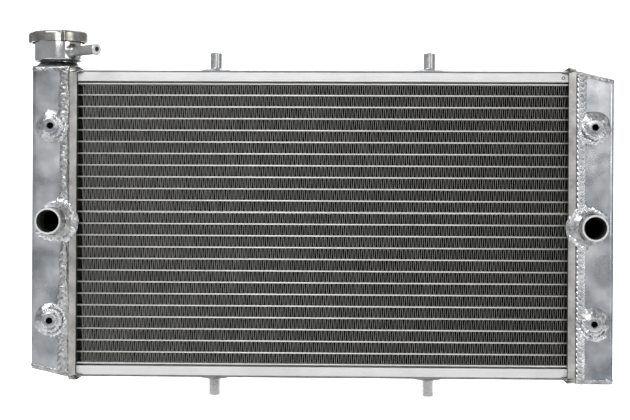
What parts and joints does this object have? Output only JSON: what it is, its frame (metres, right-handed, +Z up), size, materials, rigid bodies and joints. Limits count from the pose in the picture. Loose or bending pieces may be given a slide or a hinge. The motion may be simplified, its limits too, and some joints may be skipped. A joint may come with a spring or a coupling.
{
  "type": "automotive radiator",
  "caption": "Cross-flow aluminium radiator: flat-tube and fin core, two end tanks with front hose pipes, pressure cap with overflow nipple, and locating pins.",
  "frame": {"origin": "middle of the bottom rail's underside, on the core's mid-plane", "axes": "+X along the core towards the plain end tank, +Y away from the side with the hose pipes, +Z up"},
  "size_m": [0.5029, 0.0739, 0.3146],
  "materials": {
    "core_tube": "satin",
    "fin": "dull",
    "rail": "satin",
    "header": "satin",
    "tank": "polished",
    "turned": "machined",
    "neck": "polished",
    "cap_plate": "plated, warm tone",
    "spring": "drawn wire",
    "rubber": "matte"
  },
  "bodies": {
    "root": {"tube_01": "core_tube", "tube_02": "core_tube", "tube_03": "core_tube", "tube_04": "core_tube", "tube_05": "core_tube", "tube_06": "core_tube", "tube_07": "core_tube", "tube_08": "core_tube", "tube_09": "core_tube", "tube_10": "core_tube", "tube_11": "core_tube", "tube_12": "core_tube", "tube_13": "core_tube", "tube_14": "core_tube", "tube_15": "core_tube", "tube_16": "core_tube", "tube_17": "core_tube", "tube_18": "core_tube", "tube_19": "core_tube", "tube_20": "core_tube", "tube_21": "core_tube", "tube_22": "core_tube", "tube_23": "core_tube", "top_side_sheet": "core_tube", "bottom_side_sheet": "core_tube", "fin_bank_01": "fin", "fin_bank_02": "fin", "fin_bank_03": "fin", "fin_bank_04": "fin", "top_rail": "rail", "bottom_rail": "rail", "top_pin_left": "turned", "top_pin_right": "turned", "bottom_pin_left": "turned", "bottom_pin_right": "turned", "left_header": "header", "right_header": "header", "left_tank_shell": "tank", "left_tank_top_plate": "tank", "left_tank_bottom_plate": "tank", "right_tank_shell": "tank", "right_tank_top_plate": "tank", "right_tank_bottom_plate": "tank", "inlet_pipe": "turned", "outlet_pipe": "turned", "left_upper_fan_boss": "turned", "left_lower_fan_boss": "turned", "right_upper_fan_boss": "turned", "right_lower_fan_boss": "turned", "overflow_nipple": "turned", "filler_neck": "neck"},
    "cap": {"cap_shell": "cap_plate", "cap_rivet": "cap_plate", "cap_bell": "cap_plate", "cap_gasket": "rubber", "pressure_spring": "spring"},
    "pressure_valve": {"pressure_valve_plate": "cap_plate", "pressure_valve_seal": "rubber"},
    "vacuum_valve": {"vacuum_valve": "cap_plate"}
  },
  "joints": [
    {"name": "cap_turn", "type": "hinge", "parent": "root", "child": "cap", "pos_m": [-0.229, 0, 0.2913], "axis": [0, 0, 1], "range_deg": [0, 90]},
    {"name": "pressure_valve_lift", "type": "slide", "parent": "cap", "child": "pressure_valve", "axis": [0, 0, 1], "range_m": [0, 0.0015], "stiffness_N_per_m": 500, "springref_m": -0.002, "deforming": ["pressure_spring"]},
    {"name": "vacuum_valve_open", "type": "slide", "parent": "pressure_valve", "child": "vacuum_valve", "axis": [0, 0, -1], "range_m": [0, 0.0015], "stiffness_N_per_m": 50, "springref_m": -0.002}
  ]
}
